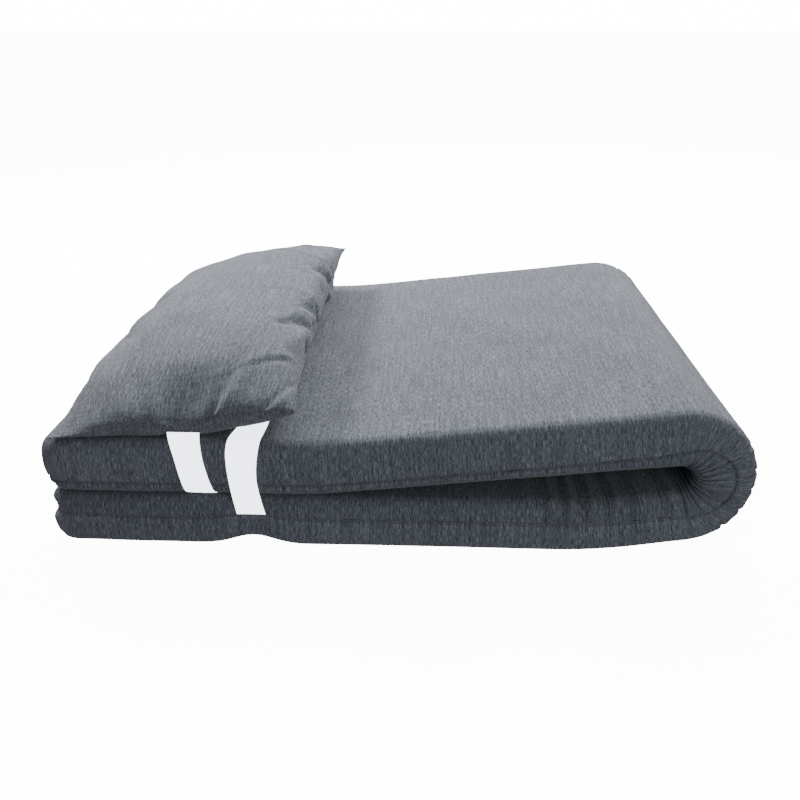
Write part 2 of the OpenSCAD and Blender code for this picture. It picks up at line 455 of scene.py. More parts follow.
class FoldLine:
    """The line of the cover's outer face, from the lower free end round the fold to the upper one."""

    def __init__(self, hinges: Sequence[tuple[float, float]], reaches: Sequence[float]) -> None:
        """Takes the line's end points and corners and how far each corner is rounded to each side.

        Args:
            hinges: End points and corners as (x, z), in order.
            reaches: Rounded length on each side of each corner.
        """
        points = np.array(hinges, float)
        steps = np.diff(points, axis=0)
        lengths = np.hypot(steps[:, 0], steps[:, 1])
        self.points = points
        self.starts = np.concatenate([[0.0], np.cumsum(lengths)])
        self.headings = np.unwrap(np.arctan2(steps[:, 1], steps[:, 0]))
        self.length = float(self.starts[-1])
        turns = np.diff(self.headings)
        self.corners = [Corner(float(self.starts[i + 1]), float(turns[i]), r)
                        for i, r in enumerate(reaches)]

    def lay(self, s: Array, v: Array) -> tuple[Array, Array, Array]:
        """Places points that are s along the line and v in from it.

        Args:
            s: Length along the line.
            v: Depth in from the outer face.
        Returns:
            x, z and heading of each point.
        """
        s, v = np.broadcast_arrays(np.asarray(s, float), np.asarray(v, float))
        leg = np.clip(np.searchsorted(self.starts, s, side="right") - 1, 0, len(self.headings) - 1)
        heading = self.headings[leg]
        along = s - self.starts[leg]
        x = self.points[leg, 0] + along * np.cos(heading)
        z = self.points[leg, 1] + along * np.sin(heading)
        heading = heading.copy()
        for i, c in enumerate(self.corners):
            near = np.abs(s - c.at) < c.reach
            if not near.any():
                continue
            first = self.headings[i]
            angle = c.turn * (s[near] - c.at + c.reach) / (2 * c.reach)
            radius = c.reach / math.tan(c.turn / 2)
            corner = self.points[i + 1]
            x[near] = (corner[0] - c.reach * math.cos(first)
                       + radius * (np.sin(first + angle) - math.sin(first)))
            z[near] = (corner[1] - c.reach * math.sin(first)
                       - radius * (np.cos(first + angle) - math.cos(first)))
            heading[near] = first + angle
        return x - v * np.sin(heading), z + v * np.cos(heading), heading


@dataclass(frozen=True)
class Span:
    """A stretch of the mattress that bends across one joint."""

    name: str
    low: float
    high: float
    first: str
    second: str
    corner: Corner
    sections: tuple[str, ...]

    def shares(self, s: Array) -> Array:
        """How far each point follows the second body."""
        return np.clip((s - self.corner.at + self.corner.reach) / (2 * self.corner.reach), 0, 1)


class FoldedForm:
    """Sizes of the mattress taken from the frame, its fold line and the spans that bend."""

    strap_rise = 12 * MM
    strap_spread = 27 * MM
    strap_press = 2.0 * MM

    def __init__(self) -> None:
        """Reads the hinges and the boxes of the end sections."""
        joint = {j["name"]: j for j in frame["joints"]}

        def hinge(name: str) -> tuple[float, float]:
            """Place of a hinge in the side view."""
            return joint[name]["pos_m"][0], joint[name]["pos_m"][2]

        low_min, low_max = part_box("cover_inner_lower")
        base_min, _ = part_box("cover_outer_lower")
        _, head_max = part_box("cover_outer_head")
        self.thickness = low_max.z - base_min.z
        self.half_width = (low_max.y - low_min.y) / 2
        self.free_x = base_min.x
        self.top = head_max.z
        # The straps' places from the free end
        straps = [sum(corner.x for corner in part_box(node)) / 2 - self.free_x
                  for node in ("bundle_strap", "pillow_strap")]
        self.bundle_at, self.pillow_at = straps[0] - 7 * MM, straps[1]
        pivot = hinge("rise_level")
        # The upper half's kink lies straight above the hinge on its inner face
        slope = math.radians(joint["rise_level"]["range_deg"][1])
        reach = self.thickness * math.tan(slope / 2)
        kink = (pivot[0] - reach, self.top)
        names = ["lift_level", "fold_1", "fold_2", "fold_3", "fold_4", "fold_5"]
        hinges = [hinge(n) for n in names]
        half = math.dist(hinges[2], hinges[3]) / 2
        self.line = FoldLine([(self.free_x, 0.0), *hinges, kink, (self.free_x, self.top)],
                             [60 * MM, half, half, half, half, half, 50 * MM])
        c = self.line.corners
        mid = [(a.at + b.at) / 2 for a, b in zip(c[1:], c[2:])]
        self.mid_fold = mid[1]
        joins = [("lower", "lift"), ("lift", "bend_1"), ("bend_1", "bend_2"), ("bend_3", "bend_4"),
                 ("bend_4", "bend_5"), ("bend_5", "rise"), ("rise", "head")]
        cuts = [-1.0, (c[0].at + 60 * MM + c[1].at - half) / 2, *mid[:4],
                c[5].at + 200 * MM, self.line.length + 1.0]
        # Each span stands for the section past its joint, and two of them for the one before it too
        both = {("lower", "lift"), ("bend_3", "bend_4")}
        self.spans = [Span(f"{a}_{b}", cuts[i], cuts[i + 1], a, b, c[i], (a, b) if (a, b) in both else (b,))
                      for i, (a, b) in enumerate(joins)]

    def strap_lift(self, s: Array, y: Array, depth: Array) -> Array:
        """How far the bundle strap lifts the underside and its edge, along the fold line."""
        edge = smooth((np.abs(y) - self.half_width + 75 * MM) / (60 * MM))
        below = smooth(1.5 - 1.5 * depth / self.thickness)
        return self.strap_rise * hump(s, self.bundle_at, self.strap_spread) * edge * below

    def seam_depth(self, s: Array) -> Array:
        """Depth of the side seam from the outer face, along the fold line."""
        c = self.line.corners
        rise = smooth((s - c[0].at) / (c[5].at + 250 * MM - c[0].at))
        level = 47.5 * MM + 12.5 * MM * rise + 2.5 * MM * hump(s, 0.0, 60 * MM)
        return level - 23 * MM * hump(s, self.mid_fold + 28 * MM, 78 * MM)


# ---- Cover and foam ------------------------------------------------------------------


@dataclass
class Sleeve:
    """Open-lying rounded slab that becomes a cover panel or a length of foam."""

    form: FoldedForm
    outer_edge: float = 17 * MM
    inner_edge: float = 16 * MM
    corner: float = 14 * MM
    end_bulge: float = 8 * MM
    side_bulge: float = 3 * MM
    groove: float = 4.2 * MM

    def stations(self, fine: float, straight: float) -> Array:
        """Places along the slab: fine in the bend, coarser on the straights, with every cut.

        Args:
            fine: Spacing in the bend.
            straight: Spacing elsewhere.
        Returns:
            Increasing places from the one rounded end to the other.
        """
        c, length = self.form.line.corners, self.form.line.length
        edge = self.outer_edge
        strap = self.form.bundle_at
        marks = [(edge, straight), (edge + self.corner, fine * 2), (strap - 60 * MM, straight),
                 (strap + 60 * MM, fine * 2), (c[0].at - 80 * MM, straight),
                 (self.form.spans[0].high, fine * 2)]
        marks += [(sp.high, fine) for sp in self.form.spans[1:5]]
        marks += [(c[5].at + 80 * MM, fine), (self.form.spans[5].high, straight),
                  (length - strap - 60 * MM, straight), (length - edge - self.corner, fine * 2.5),
                  (length - edge, fine * 2)]
        out = [edge]
        for (low, _), (high, step) in zip(marks, marks[1:]):
            count = max(1, round((high - low) / step))
            out += [low + (high - low) * (k + 1) / count for k in range(count)]
        return np.array(out)

    def girth(self, p: Array) -> tuple[Array, Array]:
        """Round the side: how far out and how deep each place on the edge profile is.

        Args:
            p: Length along the profile from the outer face's edge line.
        Returns:
            Distance out from the face's edge line and depth from the outer face.
        """
        a, b, t = self.outer_edge, self.inner_edge, self.form.thickness
        la, flat = a * math.pi / 2, t - a - b
        first, last = np.clip(p / a, 0, math.pi / 2), np.clip((p - la - flat) / b, 0, math.pi / 2)
        level = np.clip(p - la, 0, flat)
        out = a * np.sin(first) - b * (1 - np.cos(last))
        depth = a * (1 - np.cos(first)) + level + b * np.sin(last)
        return out, depth

    def profile_at(self, depth: Array) -> Array:
        """Length along the edge profile at which a depth is reached."""
        fine = np.linspace(0, self.total(), 400)
        return np.interp(depth, self.girth(fine)[1], fine)

    def total(self) -> float:
        """Full length of the edge profile."""
        return (self.outer_edge + self.inner_edge) * math.pi / 2 + (
            self.form.thickness - self.outer_edge - self.inner_edge)


@dataclass
class PanelMesh:
    """Points of one panel while it is still flat, with what the relief needs to know."""

    s: Array
    y: Array
    depth: Array
    seam_gap: Array
    wall: Array
    end: Array
    uv: Array
    quads: Array
    station: Array


class CoverPanel:
    """One of the cover's two fabric panels: a face and its walls up to the seam."""

    def __init__(self, form: FoldedForm, side: Side, thread: bpy.types.Material,
                 fine: float = 1.6 * MM, straight: float = 5 * MM, rows: int = 20) -> None:
        """Takes the form, the panel's side, its thread and how closely it is meshed."""
        self.form, self.side, self.thread = form, side, thread
        self.sleeve = Sleeve(form)
        self.fine, self.straight, self.rows = fine, straight, rows

    def flat(self) -> PanelMesh:
        """Builds the panel's face grid and the walls that run from its rim to the seam."""
        sl, form = self.sleeve, self.form
        outer = self.side is Side.OUTER
        ss = sl.stations(self.fine, self.straight)
        half = form.half_width - sl.outer_edge
        across = np.concatenate([[-half], np.linspace(-half + sl.corner, half - sl.corner, 97), [half]])
        across = np.sort(np.unique(np.concatenate([
            across, np.linspace(-half, -half + sl.corner, 5), np.linspace(half - sl.corner, half, 5)])))
        ns, ny = len(ss), len(across)
        S, Y = (a.copy() for a in np.meshgrid(ss, across, indexing="ij"))
        NS, NY = np.zeros_like(S), np.zeros_like(S)
        NS[0], NS[-1] = -1, 1
        NY[1:-1, 0], NY[1:-1, -1] = -1, 1
        NY[0], NY[-1] = 0, 0
        for end, sign in ((ss[0], 1.0), (ss[-1], -1.0)):
            for edge, flip in ((-half, 1.0), (half, -1.0)):
                a = 1 - np.abs(S - end) / sl.corner
                b = 1 - np.abs(Y - edge) / sl.corner
                near = (a > -1e-9) & (b > -1e-9)
                a, b = np.clip(a[near], 0, 1), np.clip(b[near], 0, 1)
                ra, rb = a * np.sqrt(1 - b * b / 2), b * np.sqrt(1 - a * a / 2)
                S[near] = end + sign * sl.corner * (1 - ra)
                Y[near] = edge + flip * sl.corner * (1 - rb)
                size = np.maximum(np.hypot(ra, rb), 1e-9)
                NS[near], NY[near] = -sign * ra / size, -flip * rb / size
        grid = np.arange(ns * ny).reshape(ns, ny)
        rim = np.concatenate([grid[:-1, 0], grid[-1, :-1], grid[:0:-1, -1], grid[0, :0:-1]])
        rs, ry, dirs = S.ravel()[rim], Y.ravel()[rim], (NS.ravel()[rim], NY.ravel()[rim])
        seam = sl.profile_at(form.seam_depth(rs))
        start = 0.0 if outer else sl.total()
        r = (np.arange(1, self.rows + 1) / self.rows)[:, None]
        # Rows crowd towards the seam, where the groove is
        r = 1 - (1 - r) ** 1.35
        p = start + (seam[None, :] - start) * r
        out, depth = sl.girth(p)
        gap = np.abs(p - seam[None, :])
        crown = 4 * (depth / form.thickness) * (1 - depth / form.thickness)
        endness = np.abs(dirs[0])[None, :]
        lower_end = (rs < form.line.length / 2)[None, :]
        tape = 1 - np.exp(-((gap / (13 * MM)) ** 4)) * lower_end * endness
        swell = (sl.side_bulge * (1 - endness) + sl.end_bulge * endness) * crown * tape
        dip = sl.groove * np.exp(-((gap / (2.6 * MM)) ** 1.3)) * (1 - 0.8 * lower_end * endness)
        # The corner seam: the one column of points that stands at 45 degrees is drawn in
        dip = dip + 2.6 * MM * hump(endness, math.sqrt(0.5), 0.09) * smooth(depth / (12 * MM)) * smooth(
            (form.thickness - depth) / (8 * MM))
        reach = out + swell - dip
        wall_s, wall_y = rs + dirs[0] * reach, ry + dirs[1] * reach
        face_depth = 0.0 if outer else form.thickness
        count, self.face_points = len(rim), ns * ny
        walls = ns * ny + np.arange(self.rows * count).reshape(self.rows, count)
        rings = np.concatenate([rim[None, :], walls])
        nxt = np.roll(rings, -1, axis=1)
        quads_face = np.stack([grid[:-1, :-1], grid[1:, :-1], grid[1:, 1:], grid[:-1, 1:]], -1).reshape(-1, 4)
        quads_wall = np.stack([rings[:-1], rings[1:], nxt[1:], nxt[:-1]], -1).reshape(-1, 4)
        quads = np.concatenate([quads_face, quads_wall])
        if outer:
            quads = quads[:, ::-1]
        run = np.abs(p - start)
        uv_s, uv_y = rs + dirs[0] * run, ry + dirs[1] * run

        def joined(face: Array | float, wall: Array) -> Array:
            """Values of the face's points followed by those of the wall's."""
            return np.concatenate([np.broadcast_to(face, S.shape).ravel(), wall.ravel()])

        return PanelMesh(
            s=joined(S, wall_s), y=joined(Y, wall_y), depth=joined(face_depth, depth),
            seam_gap=joined(1.0, gap), wall=joined(0.0, np.broadcast_to(1 - endness, depth.shape)),
            end=joined(0.0, np.broadcast_to(endness, depth.shape)),
            uv=np.stack([joined(S, uv_s), joined(Y, uv_y)], -1),
            quads=quads, station=joined(S, np.broadcast_to(rs, depth.shape)))

    def relief(self, m: PanelMesh) -> Array:
        """Height of the creases, pleats and slack of the fabric at every point.

        Args:
            m: The flat panel.
        Returns:
            Height out of the surface in metres.
        """
        form, t = self.form, self.form.thickness
        c = form.line.corners
        s, depth = m.s, m.depth
        outer = self.side is Side.OUTER
        inside = depth / t
        slack = 1.1 * MM * ripple(s, m.y, 0.17, 0.21, 1) + 0.45 * MM * ripple(s, m.y, 0.055, 0.09, 2)
        rest = smooth((s - 0.55) / 0.3) if outer else 0.55
        height = slack * (rest + (1 - rest) * m.wall)
        near_seam = np.exp(-m.seam_gap / (16 * MM)) * np.maximum(m.wall, m.end)
        pucker = ripple(m.station + 0 * s, m.y * 0.5, 0.013, 0.5, 3)
        height = height + near_seam * 0.75 * MM * pucker
        # Pleats that fan out of the hollow, crowded where the fabric has to shorten most
        pitch = 22 * MM
        phase = s / pitch + 0.42 * ripple(s, 0 * s, 0.03, 1.0, 4) + 0.25 * ripple(s, depth, 0.05, 0.03, 12)
        ridge = np.abs(np.sin(math.pi * phase)) ** 0.75 - 0.62
        uneven = 0.7 + 0.5 * ripple(s, depth, 0.024, 0.04, 5)
        across = smooth((form.half_width - np.abs(m.y)) / (150 * MM))
        # Both panels meet at the seam, so what differs between them dies away there
        meet = smooth(m.seam_gap / (7 * MM))
        if not outer:
            fan = smooth((s - c[1].at + 30 * MM) / (50 * MM)) * smooth((c[5].at + 35 * MM - s) / (60 * MM))
            depth_fan = 1.0 + 1.5 * smooth((inside - 0.45) / 0.5)
            height = height + 3.0 * MM * ridge * fan * depth_fan * uneven * (1 - 0.55 * across) * meet
            # Long soft wrinkles where the lower half leaves the floor
            soft = smooth((s - c[0].at + 150 * MM) / (90 * MM)) * smooth((c[1].at + 20 * MM - s) / (70 * MM))
            wave = np.sin(2 * math.pi * (s / (33 * MM) + 0.35 * ripple(s, 0 * s, 0.06, 1.0, 6)))
            strength = soft * (0.45 + 0.55 * m.wall) * (0.8 + 0.4 * ripple(s, depth, 0.05, 0.04, 7))
            height = height + 4.2 * MM * meet * strength * wave
        else:
            fan = smooth((s - c[1].at + 20 * MM) / (40 * MM)) * smooth((c[5].at + 20 * MM - s) / (60 * MM))
            reach_in = np.exp(-np.maximum(0, form.half_width - 20 * MM - np.abs(m.y)) / (55 * MM))
            crease = np.zeros_like(s)
            rng = np.random.default_rng(8)
            for k in range(9):
                at = c[1].at - 6 * MM + k * 33 * MM + rng.uniform(-9, 9) * MM
                lean = rng.uniform(-0.25, 0.25)
                off = s - at - lean * (depth - 30 * MM)
                crease += rng.uniform(0.6, 1.2) * (hump(off, 0, 2.6 * MM) - 0.55 * hump(off, 0, 9 * MM))
            height = height - 3.8 * MM * crease * reach_in * fan * meet
            beside = m.wall * np.exp(-m.seam_gap / (14 * MM))
            height = height + 0.7 * MM * ridge * fan * uneven * meet * beside
        return height

    def strap_squeeze(self, m: PanelMesh) -> Array:
        """How far the two straps draw the side in."""
        form, length = self.form, self.form.line.length
        places = (form.bundle_at, length - form.bundle_at, length - form.pillow_at)
        return sum(hump(m.s, at, form.strap_spread) for at in places) * m.wall * form.strap_press

    def lay(self, m: PanelMesh) -> tuple[Array, Array]:
        """Lays the panel along the fold line and presses its relief in.

        Args:
            m: The flat panel.
        Returns:
            Points in the row frame and their normals.
        """
        y = m.y - np.sign(m.y) * self.strap_squeeze(m)
        x, z, _ = self.form.line.lay(m.s, m.depth + self.form.strap_lift(m.s, m.y, m.depth))
        points = np.stack([x, y, z], -1)
        normals = point_normals(points, m.quads)
        points = points + normals * self.relief(m)[:, None]
        points[:, 2] = np.maximum(points[:, 2], 0.15 * MM)
        return points, point_normals(points, m.quads)

    def stitch(self, m: PanelMesh, points: Array, normals: Array) -> None:
        """Sews a row of stitches into the panel beside its seam, one piece for each span.

        Args:
            m: The flat panel.
            points: Its laid points.
            normals: Their normals.
        """
        count = (len(m.s) - self.face_points) // self.rows
        walls = np.arange(self.face_points, len(m.s)).reshape(self.rows, count)
        row = walls[int(np.argmin(np.abs(m.seam_gap[walls].mean(1) - 3.4 * MM)))]
        loop = np.append(row, row[0])
        made, quads, place = StitchRow().along(points[loop], normals[loop], m.station[loop])
        per = StitchRow.rings * StitchRow().sides
        middle = place.reshape(-1, per).mean(1)
        for span in self.form.spans:
            chosen = np.flatnonzero((middle > span.low) & (middle <= span.high))
            used = (chosen[:, None] * per + np.arange(per)).ravel()
            each = quads[:len(quads) // len(middle)]
            faces = (np.arange(len(chosen))[:, None, None] * per + each[None]).reshape(-1, 4)
            obj = new_piece(f"stitches_{self.side.value}_{span.name}", made[used], faces)
            obj.data.materials.append(self.thread)
            bend_by(obj, span.shares(place[used]))

    def build(self, material: bpy.types.Material, thickness: float) -> None:
        """Cuts the laid panel into its spans and makes each one a thin fabric piece.

        Args:
            material: The fabric.
            thickness: Thickness of the fabric with its backing.
        """
        m = self.flat()
        points, normals = self.lay(m)
        middle = m.station[m.quads].mean(1)
        for span in self.form.spans:
            chosen = m.quads[(middle > span.low) & (middle <= span.high)]
            used, faces = np.unique(chosen, return_inverse=True)
            faces = faces.reshape(-1, 4)
            name = f"cover_{self.side.value}_{span.name}"
            obj = fabric(name, points[used], normals[used], faces, m.uv[used], thickness, material)
            bend_by(obj, np.tile(span.shares(m.s[used]), 2))
            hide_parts(*[f"cover_{self.side.value}_{n}" for n in span.sections])
        if self.side is Side.OUTER:
            self.stitch(m, points, normals)


@dataclass(frozen=True)
class StitchRow:
    """A row of lockstitches that lies along a line on the fabric."""

    pitch: float = 5.0 * MM
    length: float = 3.7 * MM
    radius: float = 0.5 * MM
    sides: int = 6
    rings: int = 5

    def along(self, line: Array, normals: Array, values: Array) -> tuple[Array, Array, Array]:
        """Makes the stitches of one row.

        Args:
            line: Points that the row follows.
            normals: Fabric normals at those points.
            values: One value for each point, such as its place along the mattress.
        Returns:
            Points, quads and the value at each point.
        """
        steps = np.linalg.norm(np.diff(line, axis=0), axis=1)
        run = np.concatenate([[0], np.cumsum(steps)])
        starts = np.arange(0, run[-1] - self.length, self.pitch)
        places = np.array([0.0, 0.18, 0.5, 0.82, 1.0])
        width = np.array([0.25, 0.85, 1.0, 0.85, 0.25]) * self.radius
        sink = np.array([-0.75, 0.0, 0.35, 0.0, -0.75]) * self.radius
        at = starts[:, None] + places * self.length
        spot = np.stack([np.interp(at, run, line[:, k]) for k in range(3)], -1)
        up = np.stack([np.interp(at, run, normals[:, k]) for k in range(3)], -1)
        ahead = spot[:, -1:] - spot[:, :1]
        ahead = ahead / np.maximum(np.linalg.norm(ahead, axis=2), 1e-9)[..., None]
        aside = np.cross(up, np.broadcast_to(ahead, up.shape))
        turn = np.linspace(0, 2 * math.pi, self.sides, endpoint=False)
        centre = spot + up * sink[None, :, None]
        ring = (centre[:, :, None] + width[None, :, None, None] * (
            np.cos(turn)[:, None] * aside[:, :, None] + np.sin(turn)[:, None] * up[:, :, None]))
        n, k = len(starts), self.sides
        ids = np.arange(n * self.rings * k).reshape(n, self.rings, k)
        nxt = np.roll(ids, -1, axis=2)
        quads = np.stack([ids[:, :-1], ids[:, 1:], nxt[:, 1:], nxt[:, :-1]], -1).reshape(-1, 4)
        place = np.repeat(np.interp(at, run, values).ravel(), k)
        return ring.reshape(-1, 3), quads[:, ::-1], place


class FoamCore:
    """The foam slab inside the cover, one length for each span."""

    def __init__(self, form: FoldedForm, clear: float = 9 * MM, end_round: float = 45 * MM) -> None:
        """Takes the form, how far the foam stays inside the fabric and how its ends are rounded."""
        self.form, self.clear, self.end_round = form, clear, end_round

    def build(self, material: bpy.types.Material) -> None:
        """Makes each length as a rounded closed bar laid along the fold line."""
        line, t, clear = self.form.line, self.form.thickness, self.clear
        for span in self.form.spans:
            low, high = max(span.low, clear), min(span.high, line.length - clear)
            count = max(3, round((high - low) / (6 * MM if high - low < 0.3 else 12 * MM)))
            ss = np.linspace(low, high, count + 1)
            fine = clear + 5 * MM * np.arange(9)
            if span is self.form.spans[0]:
                ss = np.unique(np.concatenate([ss, fine]))
            if span is self.form.spans[-1]:
                ss = np.unique(np.concatenate([ss, line.length - fine]))
            half, deep, r = self.form.half_width - clear, t / 2 - clear, 20 * MM
            turn = np.linspace(0, 2 * math.pi, 32, endpoint=False)
            ring_y = (half - r) * np.sign(np.cos(turn)) + r * np.cos(turn)
            ring_v = (deep - r) * np.sign(np.sin(turn)) + r * np.sin(turn)
            S = np.repeat(ss, len(turn))
            # The free ends are rounded in plan and in height
            near = np.clip(1 - (np.minimum(S, line.length - S) - clear) / self.end_round, 0, 1)
            draw = self.end_round * (1 - np.sqrt(1 - near ** 2))
            y, v = np.tile(ring_y, len(ss)), np.tile(ring_v, len(ss))
            y, v = y - np.sign(y) * draw, v * (1 - 0.45 * draw / self.end_round)
            x, z, _ = line.lay(S, t / 2 + v + self.form.strap_lift(S, y, t / 2 + v))
            points = np.stack([x, y, z], -1)
            n = len(turn)
            ring = np.arange(len(ss) * n).reshape(len(ss), n)
            nxt = np.roll(ring, -1, axis=1)
            faces = np.stack([ring[:-1], nxt[:-1], nxt[1:], ring[1:]], -1).reshape(-1, 4).tolist()
            faces += [ring[0][::-1].tolist(), ring[-1].tolist()]
            faces = [f[::-1] for f in faces]
            obj = new_piece(f"foam_{span.name}", points, faces)
            obj.data.materials.append(material)
            bend_by(obj, span.shares(S))
            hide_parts(*[f"foam_{n}" for n in span.sections])
            LOG.info("foam_%s: %d faces", span.name, len(faces))


# ---- Pillow --------------------------------------------------------------------------


@dataclass
class Pillow:
    """Slack pillow made of two panels, blown up from its flat cut and laid on the mattress."""

    finishes: Finishes
    flat_width: float = 368 * MM
    flat_length: float = 752 * MM
    cell: float = 8 * MM
    frames: int = 26
    pressure: float = 4.0
    half_height: float = 66 * MM
    fullness: float = 0.9
    roll: float = 170 * MM
    # How much the cut draws in half way along its long and its short edges
    waist_x: float = 0.030
    waist_y: float = 0.014
    seam_allowance: float = 4 * MM
    tilt: float = math.radians(9.5)
    cover: float = 1.2 * MM
    low: Vector = field(default_factory=lambda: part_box("pillow_cover_bottom")[0])
    high: Vector = field(default_factory=lambda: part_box("pillow_cover_top")[1])

    def bag(self) -> bpy.types.Object:
        """Cuts the two flat panels and joins them at their rim, as a bag with a slight swell.

        Returns:
            The bag, centred at the origin, with material number 0 on top and 1 below.
        """
        nx, ny = round(self.flat_width / self.cell), round(self.flat_length / self.cell)
        u = np.linspace(-1, 1, nx + 1)
        v = np.linspace(-1, 1, ny + 1)
        U, V = np.meshgrid(u, v, indexing="ij")
        # The sides of the cut draw in a little between the corners
        x = U * self.flat_width / 2 * (1 - self.waist_x * (1 - V ** 2))
        y = V * self.flat_length / 2 * (1 - self.waist_y * (1 - U ** 2))
        rise = 9 * MM * (1 - U ** 2) * (1 - V ** 2)
        top = np.arange((nx + 1) * (ny + 1)).reshape(nx + 1, ny + 1)
        under = top.copy()
        inner = (nx - 1) * (ny - 1)
        under[1:-1, 1:-1] = top.size + np.arange(inner).reshape(nx - 1, ny - 1)
        cut = (slice(1, -1), slice(1, -1))
        points = np.concatenate([np.stack([x, y, rise], -1).reshape(-1, 3),
                                 np.stack([x[cut], y[cut], -rise[cut]], -1).reshape(-1, 3)])

        def quads(g: Array) -> Array:
            """Faces of one grid of point numbers."""
            return np.stack([g[:-1, :-1], g[1:, :-1], g[1:, 1:], g[:-1, 1:]], -1).reshape(-1, 4)

        faces = np.concatenate([quads(top), quads(under)[:, ::-1]])
        uv = np.concatenate([np.stack([x, y], -1).reshape(-1, 2),
                             np.stack([x[cut], y[cut]], -1).reshape(-1, 2)])
        obj = new_piece("pillow_bag", points, faces, uv)
        for _ in (0, 1):
            obj.data.materials.append(self.finishes.pillow_cloth)
        marks = np.zeros(len(faces), np.int32)
        marks[len(faces) // 2:] = 1
        obj.data.polygons.foreach_set("material_index", marks)
        return obj

    def blow_up(self, obj: bpy.types.Object) -> None:
        """Fills the bag by cloth simulation and keeps its final shape."""
        cloth = obj.modifiers.new("Fill", "CLOTH")
        cloth.settings.quality = 6
        cloth.settings.mass = 0.25
        cloth.settings.tension_stiffness = 28
        cloth.settings.compression_stiffness = 28
        cloth.settings.shear_stiffness = 8
        cloth.settings.bending_stiffness = 0.35
        cloth.settings.air_damping = 4
        cloth.settings.use_pressure = True
        cloth.settings.uniform_pressure_force = self.pressure
        cloth.settings.effector_weights.gravity = 0
        cloth.collision_settings.use_self_collision = False
        cloth.point_cache.frame_start, cloth.point_cache.frame_end = 1, self.frames
        scene = bpy.context.scene
        for f in range(1, self.frames + 1):
            scene.frame_set(f)
        apply_modifiers(obj)
        scene.frame_set(1)

    def settle(self, p: Array) -> Array:
        """Brings the filled bag to its size, leans it, and lets it rest on the mattress.

        Args:
            p: Points of the filled bag, centred.
        Returns:
            Points in the row frame.
        """
        size = Vector(self.high) - Vector(self.low)
        p = p - (p.min(0) + p.max(0)) / 2
        # Measured across each row, the bag is brought back to its sewn width and length
        bins = 60
        shape = p[:, :2] / np.abs(p[:, :2]).max(0)
        for axis, other, half, waist in ((0, 1, size.x / 2, 0.035), (1, 0, size.y / 2, 0.02)):
            row = np.clip(((shape[:, other] + 1) / 2 * bins).astype(int), 0, bins - 1)
            reach = np.zeros(bins)
            np.maximum.at(reach, row, np.abs(p[:, axis]))
            known = np.flatnonzero(reach)
            centres = (known + 0.5) / bins * 2 - 1
            level = np.convolve(np.pad(reach[known], 3, mode="edge"), np.ones(7) / 7, "valid")
            own = np.interp(shape[:, other], centres, level)
            p[:, axis] *= half * (1 - waist * (1 - shape[:, other] ** 2)) / own
        full = np.sign(p[:, 2]) * (np.abs(p[:, 2]) / np.abs(p[:, 2]).max()) ** self.fullness
        x, y = p[:, 0], p[:, 1]
        share = y / (size.y / 2)
        seam = self.low.z + 35.5 * MM + math.tan(self.tilt) * x + 9 * MM * share * (0.5 + x / size.x)
        strap = hump(x, 19 * MM, 26 * MM) * smooth((np.abs(share) - 0.72) / 0.28)
        droop = smooth((-share - 0.7) / 0.3) * (5 + 6 * smooth((-x - 0.05) / 0.1)) * MM
        # The upper panel rolls off in a round towards both ends
        near = np.clip(1 - (size.y / 2 - np.abs(y)) / np.where(y < 0, self.roll, self.roll / 2), 0, 1)
        round_off = np.sqrt(np.maximum(1 - near ** 2, 0.0))
        full = np.where(full > 0, np.maximum(full, 0) ** 0.7 * (0.25 * full + 0.75 * round_off), full)
        z = seam - 15 * MM * strap - droop + full * self.half_height * (1 - 0.25 * strap)
        # It rests flat where it presses on the mattress, and its top stays under its height
        floor, roof, soft = self.low.z + 0.3 * MM, self.high.z, 6 * MM
        z = floor + soft * np.logaddexp(0, (z - floor) / soft)
        z = roof - soft * np.logaddexp(0, (roof - z) / soft)
        p = np.stack([x + (self.low.x + self.high.x) / 2, y, np.maximum(z, floor)], -1)
        return p

    def relief(self, uv: Array, top: Array) -> Array:
        """Puckers at the seam, folds from the corners and slack of the fabric, in metres."""
        u, v = uv[:, 0], uv[:, 1]
        gap_u = self.flat_width / 2 * (1 - self.waist_x * (1 - (v / self.flat_length * 2) ** 2)) - np.abs(u)
        gap_v = self.flat_length / 2 * (1 - self.waist_y * (1 - (u / self.flat_width * 2) ** 2)) - np.abs(v)
        gap = np.clip(np.minimum(gap_u, gap_v), 0, 1)
        along = np.where(gap_u < gap_v, v, u)
        phase = along / (23 * MM) + 0.5 * ripple(along, gap, 0.045, 0.12, 21)
        uneven = 0.7 + 0.6 * ripple(along, 0 * gap, 0.05, 1, 22)
        pucker = (np.abs(np.sin(math.pi * phase)) ** 0.8 - 0.6) * uneven
        height = 1.2 * MM * pucker * np.exp(-gap / (24 * MM)) * smooth(gap / (5 * MM))
        height += 2.4 * MM * ripple(u, v, 0.075, 0.11, 23) + 0.9 * MM * ripple(u, v, 0.028, 0.05, 24)
